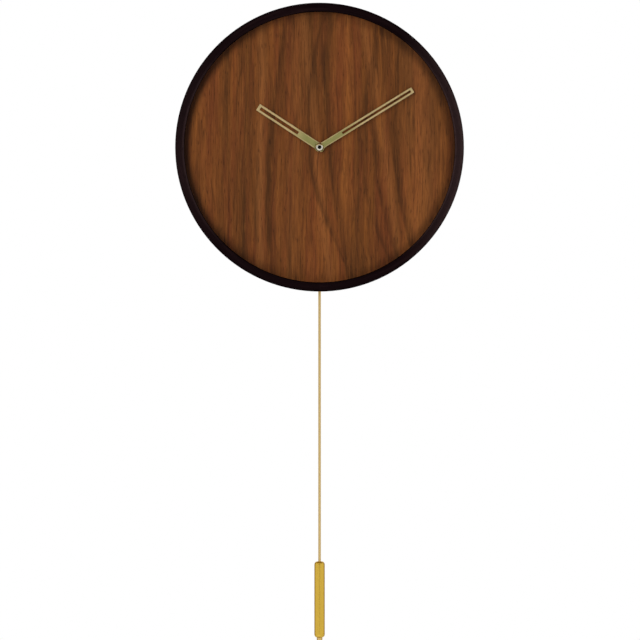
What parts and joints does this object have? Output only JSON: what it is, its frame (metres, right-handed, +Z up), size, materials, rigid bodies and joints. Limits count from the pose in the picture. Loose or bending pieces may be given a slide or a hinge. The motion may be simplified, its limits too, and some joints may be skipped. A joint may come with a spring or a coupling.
{
  "type": "pendulum wall clock",
  "caption": "Round wall clock: a deep dark wooden ring round a plain walnut dial, two slotted brass hands, a battery movement and a long thin pendulum with a bar bob.",
  "frame": {"origin": "centre of the keyhole plate's round hole, on the flat back of the case, where the wall screw enters", "axes": "+X to the right seen from the front, +Y into the wall, +Z up; the dial faces -Y"},
  "size_m": [0.33, 0.0565, 0.7345],
  "materials": {
    "stained_wood": "dark stain, satin",
    "walnut_veneer": "oiled, satin",
    "plywood": "raw",
    "hand_brass": "brushed, clear lacquer",
    "bob_brass": "polished",
    "nickel": "polished",
    "zinc_steel": "zinc plated",
    "black_abs": "moulded, fine grain",
    "white_pom": "moulded",
    "soft_iron": "stamped",
    "ferrite": "ground",
    "copper_wire": "enamelled wire",
    "circuit_resin": "solder mask",
    "battery_wrap": "printed sleeve without lettering",
    "felt": "pressed felt"
  },
  "bodies": {
    "clock": {"case_ring": "stained_wood", "dial_seat_ring": "plywood", "dial_board": "plywood", "dial_veneer": "walnut_veneer", "dial_screws": "zinc_steel", "hanger_block": "plywood", "hanger_plate": "zinc_steel", "hanger_screws": "zinc_steel", "wall_bumpers": "felt", "movement_case": "black_abs", "movement_cover": "black_abs", "movement_screws": "zinc_steel", "cover_screws": "zinc_steel", "train_bridge": "black_abs", "stator": "soft_iron", "coil_core": "soft_iron", "coil_bobbin": "white_pom", "coil_winding": "copper_wire", "circuit_board": "circuit_resin", "circuit_chip": "black_abs", "quartz_can": "zinc_steel", "battery": "battery_wrap", "contact_positive": "zinc_steel", "contact_negative": "zinc_steel", "drive_coil_bobbin": "white_pom", "drive_coil_winding": "copper_wire", "pivot_pin": "zinc_steel", "pivot_clip": "zinc_steel"},
    "pendulum": {"pendulum_lever": "black_abs", "pendulum_magnet": "ferrite", "rod_hanger": "bob_brass", "pendulum_rod": "hand_brass", "pendulum_bob": "bob_brass", "rating_nut": "hand_brass"},
    "minute": {"minute_arbor": "hand_brass", "clutch_spring": "hand_brass", "minute_hand": "hand_brass", "minute_hand_collet": "hand_brass", "cap_nut": "nickel"},
    "hour": {"hour_wheel": "white_pom", "hour_hand": "hand_brass", "hour_hand_collet": "hand_brass"},
    "intermediate": {"intermediate_wheel": "white_pom"},
    "setting": {"setting_pinion": "white_pom", "setting_knob": "black_abs"},
    "centre": {"centre_wheel": "white_pom"},
    "third": {"third_wheel": "white_pom"},
    "second": {"second_wheel": "white_pom"},
    "step": {"step_wheel": "white_pom"},
    "rotor": {"rotor_pinion": "white_pom", "rotor_magnet": "ferrite"}
  },
  "joints": [
    {"name": "pendulum_swing", "type": "hinge", "parent": "clock", "child": "pendulum", "pos_m": [0, -0.0116, -0.06], "axis": [0, 1, 0], "range_deg": [-5, 5]},
    {"name": "minute_turn", "type": "hinge", "parent": "clock", "child": "minute", "pos_m": [0, -0.0365, -0.13], "axis": [0, 1, 0], "continuous": true},
    {"name": "hour_turn", "type": "hinge", "parent": "clock", "child": "hour", "pos_m": [0, -0.0365, -0.13], "axis": [0, 1, 0], "continuous": true},
    {"name": "intermediate_turn", "type": "hinge", "parent": "clock", "child": "intermediate", "pos_m": [0.01039, -0.0263, -0.124], "axis": [0, 1, 0], "continuous": true},
    {"name": "setting_turn", "type": "hinge", "parent": "clock", "child": "setting", "pos_m": [0.02035, -0.0192, -0.11825], "axis": [0, 1, 0], "continuous": true},
    {"name": "step_turn", "type": "hinge", "parent": "clock", "child": "step", "pos_m": [0.00404, -0.0198, -0.11427], "axis": [0, 1, 0], "continuous": true},
    {"name": "rotor_turn", "type": "hinge", "parent": "clock", "child": "rotor", "pos_m": [0.00859, -0.0228, -0.11165], "axis": [0, 1, 0], "continuous": true},
    {"name": "second_turn", "type": "hinge", "parent": "clock", "child": "second", "pos_m": [-0.00305, -0.0213, -0.11302], "axis": [0, 1, 0], "continuous": true},
    {"name": "third_turn", "type": "hinge", "parent": "clock", "child": "third", "pos_m": [-0.00815, -0.0228, -0.12185], "axis": [0, 1, 0], "continuous": true},
    {"name": "centre_turn", "type": "hinge", "parent": "clock", "child": "centre", "pos_m": [0, -0.0246, -0.13], "axis": [0, 1, 0], "continuous": true}
  ],
  "couplings": [
    {"joint": "hour_turn", "follows": "minute_turn", "ratio": 0.083333},
    {"joint": "intermediate_turn", "follows": "minute_turn", "ratio": -0.33333},
    {"joint": "setting_turn", "follows": "minute_turn", "ratio": 1.2},
    {"joint": "rotor_turn", "follows": "step_turn", "ratio": -6},
    {"joint": "second_turn", "follows": "step_turn", "ratio": -0.2},
    {"joint": "third_turn", "follows": "step_turn", "ratio": 0.026667},
    {"joint": "centre_turn", "follows": "step_turn", "ratio": -0.0033333}
  ]
}
